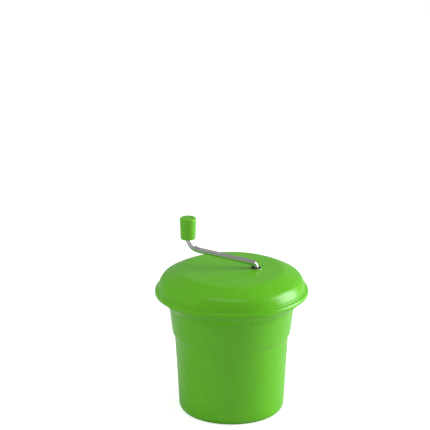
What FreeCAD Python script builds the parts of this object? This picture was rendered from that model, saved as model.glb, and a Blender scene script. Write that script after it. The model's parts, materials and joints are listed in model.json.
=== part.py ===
"""A hand-cranked salad spinner: bucket, spinning basket on a centre pivot, geared lid and crank.

The document stands on its foot at z = 0 with the bucket's axis on Z. Pieces of the lid and of the
crank are drawn from the lid's rim plane and placed at its height. The crank's axis is to the +X
side of the centre, and its knob is on the -X side.
"""
import FreeCAD, Part
import math
import os
from types import SimpleNamespace

import Sketcher

SIZES = {
    # small amounts used all over: how far a cut runs past a face, a softened corner, a bend's inner face
    "overcut": 1, "ease": 1, "inner_rise": 0.5,
    # bucket
    "bucket_wall": 2.6, "bucket_floor": 2.8,
    "foot_inner": 98.5, "foot_outer": 106, "foot_rise": 2.8,
    "bucket_base": 113, "bucket_base_rise": 7,
    "bucket_low": 122.4, "bucket_low_z": 169, "bucket_high": 127.4, "bucket_high_z": 177,
    "bucket_neck": 134.2, "bucket_neck_z": 234,
    "bucket_ridge": 136.4, "bucket_ridge_z": 235.5, "bucket_ridge_top": 239,
    "bucket_flare": 154, "bucket_flare_z": 256,
    "bucket_rim": 159.2, "bucket_rim_z": 264.5, "bucket_top": 268, "bucket_mouth": 151.5,
    "rim_lip": 3.2, "mouth_drop": 2.5, "flare_wall": 3.8, "neck_drop": 2,
    "boss_base": 17, "boss_tip": 10, "boss_top": 36, "boss_wall": 3.5,
    # pivot in the bucket's floor and the bearing that turns on it
    "pin_radius": 4, "pin_foot": 16, "pin_top": 52, "pin_dome": 2.5,
    "press_gap": 0.02, "running_gap": 0.05, "rest_gap": 0.2,
    "bush_radius": 9, "bush_low": 38, "bush_seat": 41, "bush_top": 58, "bush_flange": 12,
    "washer_top": 41.8, "washer_play": 0.2, "bush_fit": 0.08, "bush_headroom": 0.6,
    # basket
    "basket_wall": 2.2, "basket_under": 13, "basket_floor": 2.5, "basket_corner_z": 22,
    "basket_base": 95, "basket_corner": 104,
    "basket_low": 113.6, "basket_low_z": 150, "basket_high": 118.6, "basket_high_z": 167,
    "basket_neck": 125.6, "basket_neck_z": 232, "basket_mouth": 135.2, "basket_mouth_z": 256,
    "basket_rim": 142.2, "basket_top": 261, "lip_depth": 10.5, "lip_wall": 2.4, "rim_under": 258.2,
    "hub_base": 42, "hub_tip": 33, "hub_top": 44, "hub_wall": 3, "hub_hole": 12.1, "corner_rise": 1.5,
    "slot_count": 32, "slot_width": 4.6, "low_slot_foot": 26, "low_slot_head": 149,
    "high_slot_foot": 170, "high_slot_head": 237, "slot_start": 92, "slot_turn": 5.625,
    "floor_slot_count": 16, "floor_slot_width": 4.5, "floor_slot_in": 50, "floor_slot_out": 90,
    # centre column
    "column_base": 19.6, "column_tip": 18.4, "column_top": 248.4, "column_wall": 2.6, "column_ease": 1.8,
    "column_flange": 31, "flange_thick": 3, "spigot_foot": 42, "spigot_radius": 12,
    "head_foot": 226, "foot_head": 68,
    "fin_reach": 30, "fin_root": 18, "fin_foot_rise": 2, "fin_top": 66, "fin_thick": 2.2, "fin_count": 3,
    "socket_radius": 9.9, "socket_foot": 234, "socket_play": 0.25,
    "column_screw_ring": 25.5, "column_screw_count": 3, "column_screw_boss": 4, "boss_depth": 8,
    # screws
    "screw_shank": 1.5, "screw_head": 3, "screw_head_rise": 2, "screw_play": 0.05,
    "drive_arm": 1.7, "drive_half": 0.4, "drive_depth": 1.2,
    "column_screw": 11, "short_screw": 9, "long_screw": 12, "cover_screw": 7.3,
    # lid, from its rim plane
    "lid_seat_z": 264.2, "lid_rim": 165, "skirt_inner": 161.8, "skirt_seat": 4, "skirt_top": 5.5,
    "lid_shoulder": 163.5, "lid_shoulder_z": 8, "lid_step": 158.5, "lid_step_z": 10.5,
    "lid_wall_low": 157.2, "lid_wall_low_z": 19, "lid_curve": 151.5, "lid_curve_z": 33,
    "lid_dome": 138, "lid_dome_z": 41.5, "lid_crown": 117, "lid_crown_z": 50.5,
    "lid_top": 110, "lid_top_z": 52.8, "lid_centre_z": 54.6, "lid_wall": 2.8,
    "lid_seat_inner": 153.5, "crown_shift": 1, "dome_shift": 1.4, "curve_shift": 2.5, "curve_drop": 1.8,
    "rib_count": 8, "rib_inner": 146, "rib_outer": 150.8, "rib_drop": 3, "rib_top": 20,
    "rib_thick": 2.4, "rib_root": 155,
    # crank boss on the lid and its bushes
    "gear_axis": 51.75, "crank_radius": 6,
    "crank_boss": 15, "crank_boss_top": 55.2, "crank_tube": 12, "crank_tube_foot": 36,
    "upper_bush": 8.5, "upper_flange": 12, "upper_flange_foot": 53.5, "upper_flange_top": 55,
    "flange_play": 0.1,
    "lower_bush": 8, "lower_bush_top": 22, "lower_flange": 10.5, "lower_flange_foot": 9.6,
    # gearbox plate
    "plate_axis": 26.7, "plate_radius": 83, "plate_foot": 11, "plate_top": 13.5,
    "plate_lip": 2, "plate_lip_top": 15.5, "plate_boss": 11,
    "plate_screw_ring": 74, "plate_screw_start": 60, "plate_screw_count": 3,
    "lid_boss": 6, "lid_boss_top": 51,
    "pinion_boss": 9, "pinion_boss_top": 26, "pinion_bush": 6, "pinion_flange_foot": 10,
    # gear housing and its cover
    "housing_outer": 49.7, "housing_inner": 47.2, "housing_foot": -11.5, "window_x": 4.3,
    "housing_flange": 57, "housing_flange_foot": 8.5,
    "housing_screw_ring": 53, "housing_screw_start": -75, "housing_screw_sweep": 150,
    "housing_screw_count": 4, "housing_screw_boss": 4.5, "housing_boss_top": 19,
    "cover_screw_ring": 43, "cover_screw_start": -70, "cover_screw_sweep": 140,
    "cover_screw_count": 3, "cover_boss": 4.5, "cover_boss_top": -6.2,
    "cover_foot": -14, "cover_notch": 9.5, "cover_head_rise": 1.2,
    # gears
    "gear_module": 1.5, "gear_teeth": 60, "pinion_teeth": 9, "pressure_angle": 25,
    "addendum": 0.8, "dedendum": 1.05, "backlash": 0.14,
    "gear_foot": -5, "gear_top": 5, "gear_hub": 13, "gear_hub_foot": -6, "gear_hub_top": 9.2,
    "gear_web": 2.2, "gear_rim": 4.5,
    "pinion_foot": -25, "pinion_lead": 1.5, "pinion_top": 9.8, "journal_radius": 4, "journal_top": 30,
    "clip_groove": 3.55, "clip_foot": 27, "clip_top": 28, "clip_radius": 6.6,
    "pinion_washer_foot": 26.1, "pinion_washer": 7.5,
    # crank
    "crank_foot": -6, "bend_low_z": 57.5, "bend_low": 11, "crank_reach": 145.05,
    "bend_high_z": 124.5, "bend_high": 30, "crank_top": 158.2,
    "gear_pin": 1.5, "gear_pin_z": 7, "gear_pin_half": 12.4,
    "gear_washer": 9, "gear_washer_foot": -7.2, "gear_screw_head": 5, "gear_screw_foot": -10.2,
    "end_screw_shank": 2.5, "end_screw_depth": 14, "end_screw_length": 12,
    "seal_radius": 11, "seal_foot": 55.1, "seal_top": 56.6,
    # knob
    "knob_foot": 122, "knob_top": 169, "knob_low": 16, "knob_high": 17.7, "knob_shoulder_z": 166.5,
    "knob_flat": 15.2, "knob_wall": 2.5, "knob_taper": 0.4, "knob_boss": 9.5, "knob_boss_foot": 127.3,
    "knob_roof_z": 155, "knob_deck_z": 158, "knob_recess": 10.6, "knob_play": 0.08,
    "knob_rib_count": 6, "knob_rib_sink": 0.83, "knob_rib_foot": 140, "knob_rib_thick": 1.6,
    "collar_foot": 125, "collar_top": 127, "collar_radius": 9,
    "knob_washer": 8.5, "knob_washer_top": 159.4, "knob_screw_head": 5, "knob_screw_top": 162.2,
    "cap_radius": 10.55, "cap_foot": 165.5,
}

FULL_TURN = 360
FLANK_STEPS = 3
SAME_PLACE = 0.01
LEAST_CUT = 0.1

doc = FreeCAD.newDocument("SaladSpinner")
sheet = doc.addObject("Spreadsheet::Sheet", "Sizes")
for row, (alias, amount) in enumerate(SIZES.items(), start=1):
    sheet.set(f"A{row}", alias)
    sheet.set(f"B{row}", str(amount))
    sheet.setAlias(f"B{row}", alias)
doc.recompute()


class Dim:
    """A size with its number and the expression that ties it to the sheet."""

    def __init__(self, number, text):
        self.number = number
        self.text = text

    def joined(self, other, sign, number):
        text = other.text if isinstance(other, Dim) else str(other)
        return Dim(number, f"({self.text} {sign} {text})")

    def __add__(self, other):
        return self.joined(other, "+", self.number + plain(other))

    def __sub__(self, other):
        return self.joined(other, "-", self.number - plain(other))

    def __mul__(self, other):
        return self.joined(other, "*", self.number * plain(other))

    def __truediv__(self, other):
        return self.joined(other, "/", self.number / plain(other))

    def __neg__(self):
        return Dim(-self.number, f"(0 - {self.text})")


def plain(size):
    return size.number if isinstance(size, Dim) else size


mm = SimpleNamespace(**{alias: Dim(float(sheet.get(alias)), f"Sizes.{alias}") for alias in SIZES})
ZERO = Dim(0.0, "0")
ONE = Dim(1, "1")
pieces = []


# ---------------------------------------------------------------- drawing helpers

def bind(thing, **sizes):
    """Ties properties to the sheet; a double underscore stands for a dot in a property's path."""
    for path, size in sizes.items():
        thing.setExpression(path.replace("__", "."), size.text)


def new_body(label, x=ZERO, z=ZERO):
    body = doc.addObject("PartDesign::Body", label)
    body.Label = label
    body.AllowCompound = True
    bind(body, Placement__Base__x=x, Placement__Base__z=z)
    pieces.append(body)
    return body


def origin_part(body, role):
    return next(item for item in body.Origin.OriginFeatures if item.Role == role)


def new_sketch(body, role, height=ZERO, x=ZERO, turn=ZERO, swing=ZERO):
    """A sketch on one of the body's own planes, moved along its normal, sideways and turned; an
    upright one can be swung about the body's axis instead."""
    sketch = body.newObject("Sketcher::SketchObject", "Sketch")
    sketch.AttachmentSupport = [(origin_part(body, role), "")]
    sketch.MapMode = "FlatFace"
    sketch.AttachmentOffset = FreeCAD.Placement(
        FreeCAD.Vector(x.number, 0, height.number), FreeCAD.Rotation(turn.number, 0, 0))
    bind(sketch, AttachmentOffset__Base__z=height, AttachmentOffset__Base__x=x)
    if swing.number:
        swung = FreeCAD.Rotation(FreeCAD.Vector(0, 1, 0), swing.number)
        away = swung.multVec(FreeCAD.Vector(0, 0, height.number))
        sketch.AttachmentOffset = FreeCAD.Placement(away, swung)
        bind(sketch, AttachmentOffset__Base__z=Dim(away.z, f"{height.text} * cos({swing.text} * 1 deg)"),
             AttachmentOffset__Base__x=Dim(away.x, f"{height.text} * sin({swing.text} * 1 deg)"),
             AttachmentOffset__Rotation__Angle=swing)
    return sketch


def outline(sketch, points):
    """A closed outline through the corners, each one tied to the sheet."""
    corners = [FreeCAD.Vector(plain(x), plain(y), 0) for x, y in points]
    first = sketch.GeometryCount
    count = len(corners)
    sketch.addGeometry([Part.LineSegment(corners[at], corners[(at + 1) % count]) for at in range(count)])
    for at in range(count):
        sketch.addConstraint(Sketcher.Constraint("Coincident", first + at, 2, first + (at + 1) % count, 1))
    for at, corner in enumerate(points):
        for kind, axis, size in (("DistanceX", -2, corner[0]), ("DistanceY", -1, corner[1])):
            if plain(size) == 0:
                sketch.addConstraint(Sketcher.Constraint("PointOnObject", first + at, 1, axis))
                continue
            rule = Sketcher.Constraint(kind, -1, 1, first + at, 1, plain(size))
            bind(sketch, **{f"Constraints[{sketch.addConstraint(rule)}]": size})


def circle(sketch, radius, x=ZERO):
    """A circle centred on the sketch's horizontal axis."""
    centre, up = FreeCAD.Vector(x.number, 0, 0), FreeCAD.Vector(0, 0, 1)
    at = sketch.addGeometry(Part.Circle(centre, up, radius.number))
    rule = sketch.addConstraint(Sketcher.Constraint("Radius", at, radius.number))
    bind(sketch, **{f"Constraints[{rule}]": radius})
    if x.number == 0:
        sketch.addConstraint(Sketcher.Constraint("Coincident", at, 3, -1, 1))
        return
    sketch.addConstraint(Sketcher.Constraint("PointOnObject", at, 3, -1))
    rule = sketch.addConstraint(Sketcher.Constraint("DistanceX", -1, 1, at, 3, x.number))
    bind(sketch, **{f"Constraints[{rule}]": x})


def slot(sketch, foot, head, width):
    """A round-ended slot along the sketch's vertical axis, from foot to head."""
    half = width / 2
    low, high, wide = (foot + half).number, (head - half).number, half.number
    up = FreeCAD.Vector(0, 0, 1)
    sketch.addGeometry([
        Part.LineSegment(FreeCAD.Vector(-wide, high, 0), FreeCAD.Vector(-wide, low, 0)),
        Part.ArcOfCircle(Part.Circle(FreeCAD.Vector(0, low, 0), up, wide), math.pi, 2 * math.pi),
        Part.LineSegment(FreeCAD.Vector(wide, low, 0), FreeCAD.Vector(wide, high, 0)),
        Part.ArcOfCircle(Part.Circle(FreeCAD.Vector(0, high, 0), up, wide), 0, math.pi),
    ])
    for at in range(4):
        sketch.addConstraint(Sketcher.Constraint("Tangent", at, 2, (at + 1) % 4, 1))
    sketch.addConstraint(Sketcher.Constraint("Equal", 1, 3))
    for arc, height in ((1, foot + half), (3, head - half)):
        sketch.addConstraint(Sketcher.Constraint("PointOnObject", arc, 3, -2))
        rule = sketch.addConstraint(Sketcher.Constraint("DistanceY", -1, 1, arc, 3, height.number))
        bind(sketch, **{f"Constraints[{rule}]": height})
    rule = sketch.addConstraint(Sketcher.Constraint("Radius", 1, wide))
    bind(sketch, **{f"Constraints[{rule}]": half})


def revolve(body, points):
    """Turns an outline of (radius, height) corners about the body's axis."""
    sketch = new_sketch(body, "XZ_Plane")
    outline(sketch, points)
    feature = body.newObject("PartDesign::Revolution", "Revolution")
    feature.Profile = sketch
    feature.ReferenceAxis = (sketch, ["V_Axis"])
    feature.Angle = FULL_TURN
    body.Tip = feature
    return feature


def pad(body, sketch, length, symmetric=False):
    feature = body.newObject("PartDesign::Pad", "Pad")
    feature.Profile = sketch
    bind(feature, Length=length)
    if symmetric:
        feature.SideType = "Symmetric"
    body.Tip = feature
    return feature


def pocket(body, sketch, length, along_normal=False):
    feature = body.newObject("PartDesign::Pocket", "Pocket")
    feature.Profile = sketch
    feature.Reversed = along_normal
    bind(feature, Length=length)
    body.Tip = feature
    return feature


def repeat(body, feature, count, axis=None, sweep=None):
    """Repeats a feature round the body's axis, or round a sketch's normal over part of a turn."""
    pattern = body.newObject("PartDesign::PolarPattern", "PolarPattern")
    pattern.Originals = [feature]
    pattern.Axis = axis or (origin_part(body, "Z_Axis"), [""])
    pattern.Angle = sweep.number if sweep else FULL_TURN
    if sweep:
        bind(pattern, Angle=sweep)
    pattern.Occurrences = int(count.number)
    bind(pattern, Occurrences=count)
    body.Tip = pattern
    return pattern


def ring(start, radius, count, sweep=None, x=ZERO):
    """Where a set of screws stands: on a circle about x, from a start angle, over a sweep."""
    return SimpleNamespace(start=start, radius=radius, count=count, sweep=sweep, x=x)


def rods(body, radius, foot, head, places=None, cut=False):
    """Round rods, or holes when cut, from foot to head at each place of a ring."""
    places = places or ring(ZERO, ZERO, ONE)
    sketch = new_sketch(body, "XY_Plane", head if cut else foot, places.x, places.start)
    circle(sketch, radius, places.radius)
    feature = (pocket if cut else pad)(body, sketch, head - foot)
    if places.count.number > 1:
        repeat(body, feature, places.count, (sketch, ["N_Axis"]), places.sweep)


def screws(label, places, seat, length, head=mm.screw_head, head_rise=mm.screw_head_rise,
           shank=mm.screw_shank, z=ZERO, head_up=False):
    """Pan-head screws with a cross drive; the head is above its seat or below it."""
    body = new_body(label, z=z)
    if head_up:
        rods(body, shank, seat - length, seat, places)
        rods(body, head, seat, seat + head_rise, places)
        mouth = seat + head_rise
    else:
        rods(body, shank, seat, seat + length, places)
        rods(body, head, seat - head_rise, seat, places)
        mouth = seat - head_rise
    sketch = new_sketch(body, "XY_Plane", mouth, places.x, places.start)
    arm, half = mm.drive_arm, mm.drive_half
    corners = [(arm, -half), (arm, half), (half, half)]
    cross = []
    for _ in range(4):
        cross += corners
        corners = [(-y, x) for x, y in corners]
    outline(sketch, [(places.radius + x, y) for x, y in cross])
    feature = pocket(body, sketch, mm.drive_depth, along_normal=not head_up)
    if places.count.number > 1:
        repeat(body, feature, places.count, (sketch, ["N_Axis"]), places.sweep)
    return body


def round_edges(body, radius, *rims):
    """Fillets the full circles at each (radius, height)."""
    doc.recompute()
    base = body.Tip
    names = []
    for number, edge in enumerate(base.Shape.Edges, start=1):
        if not isinstance(edge.Curve, Part.Circle):
            continue
        for rim, height in rims:
            off = max(abs(edge.Curve.Radius - rim.number), abs(edge.Curve.Center.z - height.number))
            if off < SAME_PLACE:
                names.append(f"Edge{number}")
    feature = body.newObject("PartDesign::Fillet", "Fillet")
    feature.Base = (base, names)
    bind(feature, Radius=radius)
    body.Tip = feature
    return feature


def set_piece(label, shape, x=ZERO, z=ZERO):
    """A piece whose shape is worked out by formula, such as a gear."""
    piece = doc.addObject("Part::Feature", label)
    piece.Label = label
    piece.Shape = shape
    piece.Placement = FreeCAD.Placement(FreeCAD.Vector(x.number, 0, z.number), FreeCAD.Rotation())
    pieces.append(piece)
    return piece


def sleeve(label, bore, outer, foot, head, x=ZERO, z=ZERO, flange=None, flange_foot=None, flange_head=None):
    """A bush: a tube from foot to head, with a flange where one is given."""
    body = new_body(label, x=x, z=z)
    corners = [(bore, foot), (outer, foot), (outer, head), (bore, head)]
    if flange and flange_head.number == foot.number:
        corners = [(bore, flange_foot), (flange, flange_foot), (flange, foot), (outer, foot),
                   (outer, head), (bore, head)]
    elif flange:
        corners = [(bore, foot), (outer, foot), (outer, head), (flange, head),
                   (flange, flange_head), (bore, flange_head)]
    revolve(body, corners)
    return body


# ---------------------------------------------------------------- bucket and pivot

def bucket():
    body = new_body("bucket")
    wall, floor_top = mm.bucket_wall, mm.foot_rise + mm.bucket_floor
    hole = mm.pin_radius + mm.press_gap
    revolve(body, [
        (ZERO, mm.pin_foot - mm.boss_wall), (mm.boss_tip - mm.boss_wall, mm.pin_foot - mm.boss_wall),
        (mm.boss_base - mm.boss_wall, mm.foot_rise), (mm.foot_inner - mm.foot_rise, mm.foot_rise),
        (mm.foot_inner, ZERO), (mm.foot_outer, ZERO), (mm.bucket_base, mm.bucket_base_rise),
        (mm.bucket_low, mm.bucket_low_z), (mm.bucket_high, mm.bucket_high_z),
        (mm.bucket_neck, mm.bucket_neck_z), (mm.bucket_ridge, mm.bucket_ridge_z),
        (mm.bucket_ridge, mm.bucket_ridge_top), (mm.bucket_flare, mm.bucket_flare_z),
        (mm.bucket_flare + mm.ease, mm.bucket_rim_z), (mm.bucket_rim, mm.bucket_rim_z),
        (mm.bucket_rim, mm.bucket_top), (mm.bucket_rim - mm.rim_lip, mm.bucket_top),
        (mm.bucket_mouth + mm.ease, mm.bucket_rim_z + mm.ease),
        (mm.bucket_mouth, mm.bucket_rim_z - mm.mouth_drop),
        (mm.bucket_flare - mm.flare_wall, mm.bucket_flare_z),
        (mm.bucket_neck - wall, mm.bucket_ridge_top - mm.ease),
        (mm.bucket_neck - wall, mm.bucket_neck_z - mm.neck_drop),
        (mm.bucket_high - wall, mm.bucket_high_z + mm.inner_rise),
        (mm.bucket_low - wall, mm.bucket_low_z + mm.inner_rise),
        (mm.bucket_base - wall, mm.bucket_base_rise + mm.ease),
        (mm.foot_outer, floor_top), (mm.boss_base, floor_top), (mm.boss_tip, mm.boss_top),
        (hole, mm.boss_top), (hole, mm.pin_foot), (ZERO, mm.pin_foot),
    ])
    round_edges(body, mm.foot_rise, (mm.foot_outer, ZERO), (mm.bucket_base, mm.bucket_base_rise))


def pivot_pin():
    body = new_body("pivot_pin")
    rods(body, mm.pin_radius, mm.pin_foot, mm.pin_top)
    round_edges(body, mm.pin_dome, (mm.pin_radius, mm.pin_top))


def pivot_bush():
    body = new_body("pivot_bush")
    bore = mm.pin_radius + mm.running_gap
    roof = mm.pin_top + mm.rest_gap
    revolve(body, [
        (bore, mm.bush_low), (mm.bush_flange, mm.bush_low), (mm.bush_flange, mm.bush_seat),
        (mm.bush_radius, mm.bush_seat), (mm.bush_radius, mm.bush_top), (ZERO, mm.bush_top),
        (ZERO, roof), (bore, roof),
    ])


def thrust_washer():
    sleeve("thrust_washer", mm.bush_radius + mm.washer_play, mm.bush_flange, mm.bush_seat, mm.washer_top)


# ---------------------------------------------------------------- basket and column

column_ring = ring(ZERO, mm.column_screw_ring, mm.column_screw_count)


def basket():
    body = new_body("basket")
    wall, floor_top = mm.basket_wall, mm.basket_under + mm.basket_floor
    hub_under = mm.hub_top - mm.hub_wall
    revolve(body, [
        (mm.hub_base - mm.hub_wall + mm.inner_rise, mm.basket_under), (mm.basket_base, mm.basket_under),
        (mm.basket_corner, mm.basket_corner_z), (mm.basket_low, mm.basket_low_z),
        (mm.basket_high, mm.basket_high_z), (mm.basket_neck, mm.basket_neck_z),
        (mm.basket_mouth, mm.basket_mouth_z), (mm.basket_mouth + mm.inner_rise, mm.rim_under),
        (mm.basket_rim - mm.lip_wall, mm.rim_under),
        (mm.basket_rim - mm.lip_wall, mm.basket_top - mm.lip_depth),
        (mm.basket_rim, mm.basket_top - mm.lip_depth), (mm.basket_rim, mm.basket_top - mm.ease),
        (mm.basket_rim - mm.ease, mm.basket_top), (mm.basket_mouth - mm.ease, mm.basket_top),
        (mm.basket_mouth - wall, mm.basket_top - mm.corner_rise),
        (mm.basket_mouth - wall, mm.basket_mouth_z + mm.inner_rise),
        (mm.basket_neck - wall, mm.basket_neck_z + mm.inner_rise),
        (mm.basket_high - wall, mm.basket_high_z + mm.inner_rise),
        (mm.basket_low - wall, mm.basket_low_z + mm.inner_rise),
        (mm.basket_corner - wall, mm.basket_corner_z + mm.corner_rise),
        (mm.basket_base - mm.ease, floor_top), (mm.hub_base, floor_top), (mm.hub_tip, mm.hub_top),
        (mm.hub_hole, mm.hub_top), (mm.hub_hole, hub_under),
        (mm.hub_tip - mm.hub_wall + mm.inner_rise, hub_under),
    ])
    boss_foot = hub_under - mm.boss_depth
    rods(body, mm.column_screw_boss, boss_foot, mm.hub_top - mm.ease, column_ring)
    rods(body, mm.screw_shank + mm.screw_play, boss_foot - mm.overcut, mm.hub_top + mm.overcut,
         column_ring, cut=True)
    for foot, head in ((mm.low_slot_foot, mm.low_slot_head), (mm.high_slot_foot, mm.high_slot_head)):
        sketch = new_sketch(body, "XZ_Plane", mm.slot_start, swing=mm.slot_turn)
        slot(sketch, foot, head, mm.slot_width)
        repeat(body, pocket(body, sketch, mm.basket_rim - mm.slot_start, along_normal=True), mm.slot_count)
    sketch = new_sketch(body, "XY_Plane", floor_top + mm.overcut, turn=mm.slot_turn)
    slot(sketch, mm.floor_slot_in, mm.floor_slot_out, mm.floor_slot_width)
    repeat(body, pocket(body, sketch, mm.basket_floor + mm.overcut * 2), mm.floor_slot_count)


def centre_column():
    body = new_body("centre_column")
    flange_top = mm.hub_top + mm.flange_thick
    bush_hole = mm.bush_radius + mm.bush_fit
    bush_roof = mm.bush_top + mm.bush_headroom
    wall = mm.column_wall
    socket_hole = mm.socket_radius + mm.press_gap
    revolve(body, [
        (bush_hole, mm.spigot_foot), (mm.spigot_radius, mm.spigot_foot), (mm.spigot_radius, mm.hub_top),
        (mm.column_flange, mm.hub_top), (mm.column_flange, flange_top), (mm.column_base, flange_top),
        (mm.column_tip, mm.column_top - mm.column_ease), (mm.column_tip - mm.column_ease, mm.column_top),
        (socket_hole, mm.column_top), (socket_hole, mm.socket_foot), (mm.column_tip - wall, mm.head_foot),
        (mm.column_base - wall, mm.foot_head), (bush_hole, bush_roof),
    ])
    rods(body, mm.screw_shank + mm.screw_play, mm.hub_top - mm.overcut, flange_top + mm.overcut,
         column_ring, cut=True)
    sketch = new_sketch(body, "XZ_Plane")
    outline(sketch, [(-mm.fin_reach, flange_top - mm.ease), (-mm.fin_root, flange_top - mm.ease),
                     (-mm.fin_root, mm.fin_top), (-mm.column_base, mm.fin_top),
                     (-mm.fin_reach, flange_top + mm.fin_foot_rise)])
    repeat(body, pad(body, sketch, mm.fin_thick, symmetric=True), mm.fin_count)


# ---------------------------------------------------------------- lid

plate_ring = ring(mm.plate_screw_start, mm.plate_screw_ring, mm.plate_screw_count, x=mm.plate_axis)
housing_ring = ring(mm.housing_screw_start, mm.housing_screw_ring, mm.housing_screw_count,
                    mm.housing_screw_sweep, x=mm.gear_axis)
cover_ring = ring(mm.cover_screw_start, mm.cover_screw_ring, mm.cover_screw_count,
                  mm.cover_screw_sweep, x=mm.gear_axis)
crank_place = ring(ZERO, ZERO, ONE, x=mm.gear_axis)
screw_hole = mm.screw_shank + mm.screw_play


def lid_shell():
    body = new_body("lid_shell", z=mm.lid_seat_z)
    wall = mm.lid_wall
    revolve(body, [
        (mm.skirt_inner, ZERO), (mm.lid_rim, ZERO), (mm.lid_rim, mm.skirt_top),
        (mm.lid_shoulder, mm.lid_shoulder_z), (mm.lid_step, mm.lid_step_z),
        (mm.lid_wall_low, mm.lid_wall_low_z), (mm.lid_curve, mm.lid_curve_z), (mm.lid_dome, mm.lid_dome_z),
        (mm.lid_crown, mm.lid_crown_z), (mm.lid_top, mm.lid_top_z), (ZERO, mm.lid_centre_z),
        (ZERO, mm.lid_centre_z - wall), (mm.lid_top, mm.lid_top_z - wall),
        (mm.lid_crown - mm.crown_shift, mm.lid_crown_z - wall),
        (mm.lid_dome - mm.dome_shift, mm.lid_dome_z - wall),
        (mm.lid_curve - mm.curve_shift, mm.lid_curve_z - mm.curve_drop),
        (mm.lid_wall_low - wall, mm.lid_wall_low_z),
        (mm.lid_seat_inner, mm.skirt_seat), (mm.skirt_inner, mm.skirt_seat),
    ])
    sketch = new_sketch(body, "XZ_Plane")
    outline(sketch, [(mm.rib_inner, mm.rib_top), (mm.rib_inner, mm.ease - mm.rib_drop),
                     (mm.rib_inner + mm.ease, -mm.rib_drop), (mm.rib_outer, -mm.rib_drop),
                     (mm.rib_outer, mm.skirt_seat), (mm.rib_root, mm.skirt_seat), (mm.rib_root, mm.rib_top)])
    repeat(body, pad(body, sketch, mm.rib_thick, symmetric=True), mm.rib_count)
    rods(body, mm.crank_boss, mm.lid_boss_top, mm.crank_boss_top, crank_place)
    rods(body, mm.crank_tube, mm.crank_tube_foot, mm.lid_boss_top + mm.ease, crank_place)
    rods(body, mm.upper_bush + mm.press_gap, mm.crank_tube_foot - mm.overcut, mm.crank_boss_top + mm.overcut,
         crank_place, cut=True)
    rods(body, mm.upper_flange + mm.flange_play, mm.upper_flange_foot, mm.crank_boss_top + mm.overcut,
         crank_place, cut=True)
    rods(body, mm.lid_boss, mm.plate_top, mm.lid_boss_top, plate_ring)
    rods(body, screw_hole, mm.plate_top - mm.overcut, mm.plate_top + mm.long_screw, plate_ring, cut=True)


def gearbox_plate():
    body = new_body("gearbox_plate", z=mm.lid_seat_z)
    centre = ring(ZERO, ZERO, ONE, x=mm.plate_axis)
    rods(body, mm.plate_radius, mm.plate_foot, mm.plate_lip_top, centre)
    under, inside = mm.plate_foot - mm.overcut, mm.plate_top - mm.ease
    rods(body, mm.plate_radius - mm.plate_lip, mm.plate_top, mm.plate_lip_top + mm.overcut, centre, cut=True)
    rods(body, mm.plate_boss, inside, mm.lower_bush_top, crank_place)
    rods(body, mm.lower_bush + mm.press_gap, under, mm.lower_bush_top + mm.overcut, crank_place, cut=True)
    rods(body, mm.pinion_boss, inside, mm.pinion_boss_top)
    rods(body, mm.pinion_bush + mm.press_gap, under, mm.pinion_boss_top + mm.overcut, cut=True)
    rods(body, mm.housing_screw_boss, inside, mm.housing_boss_top, housing_ring)
    rods(body, screw_hole, under, mm.housing_boss_top + mm.overcut, housing_ring, cut=True)
    rods(body, screw_hole, under, mm.plate_top + mm.overcut, plate_ring, cut=True)


def gear_housing():
    body = new_body("gear_housing", x=mm.gear_axis, z=mm.lid_seat_z)
    revolve(body, [
        (mm.housing_inner, mm.housing_foot), (mm.housing_outer, mm.housing_foot),
        (mm.housing_outer, mm.housing_flange_foot), (mm.housing_flange, mm.housing_flange_foot),
        (mm.housing_flange, mm.plate_foot), (mm.housing_inner, mm.plate_foot),
    ])
    centred = ring(cover_ring.start, cover_ring.radius, cover_ring.count, cover_ring.sweep)
    rods(body, mm.cover_boss, mm.housing_foot, mm.cover_boss_top, centred)
    rods(body, screw_hole, mm.housing_foot - mm.overcut, mm.cover_boss_top + mm.overcut, centred, cut=True)
    centred = ring(housing_ring.start, housing_ring.radius, housing_ring.count, housing_ring.sweep)
    rods(body, screw_hole, mm.housing_flange_foot - mm.overcut, mm.plate_foot + mm.overcut, centred, cut=True)
    sketch = new_sketch(body, "XY_Plane", mm.plate_foot + mm.overcut)
    reach = mm.housing_flange + mm.overcut
    outline(sketch, [(-reach, -reach), (-mm.window_x, -reach), (-mm.window_x, reach), (-reach, reach)])
    pocket(body, sketch, mm.plate_foot - mm.housing_foot + mm.overcut * 2)


def housing_cover():
    body = new_body("housing_cover", x=mm.gear_axis, z=mm.lid_seat_z)
    rods(body, mm.housing_outer, mm.cover_foot, mm.housing_foot)
    notch = ring(ZERO, -mm.gear_axis, ONE)
    under, over = mm.cover_foot - mm.overcut, mm.housing_foot + mm.overcut
    rods(body, mm.cover_notch, under, over, notch, cut=True)
    centred = ring(cover_ring.start, cover_ring.radius, cover_ring.count, cover_ring.sweep)
    rods(body, screw_hole, under, over, centred, cut=True)


def lid_bushes():
    bore = mm.crank_radius + mm.running_gap
    sleeve("crank_bush_upper", bore, mm.upper_bush, mm.crank_tube_foot, mm.upper_flange_foot,
           mm.gear_axis, mm.lid_seat_z, mm.upper_flange, mm.upper_flange_foot, mm.upper_flange_top)
    sleeve("crank_bush_lower", bore, mm.lower_bush, mm.plate_foot, mm.lower_bush_top,
           mm.gear_axis, mm.lid_seat_z, mm.lower_flange, mm.lower_flange_foot, mm.plate_foot)
    sleeve("pinion_bush", mm.journal_radius + mm.running_gap, mm.pinion_bush, mm.plate_foot,
           mm.pinion_boss_top, ZERO, mm.lid_seat_z, mm.pinion_boss, mm.pinion_flange_foot, mm.plate_foot)


# ---------------------------------------------------------------- gears

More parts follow.
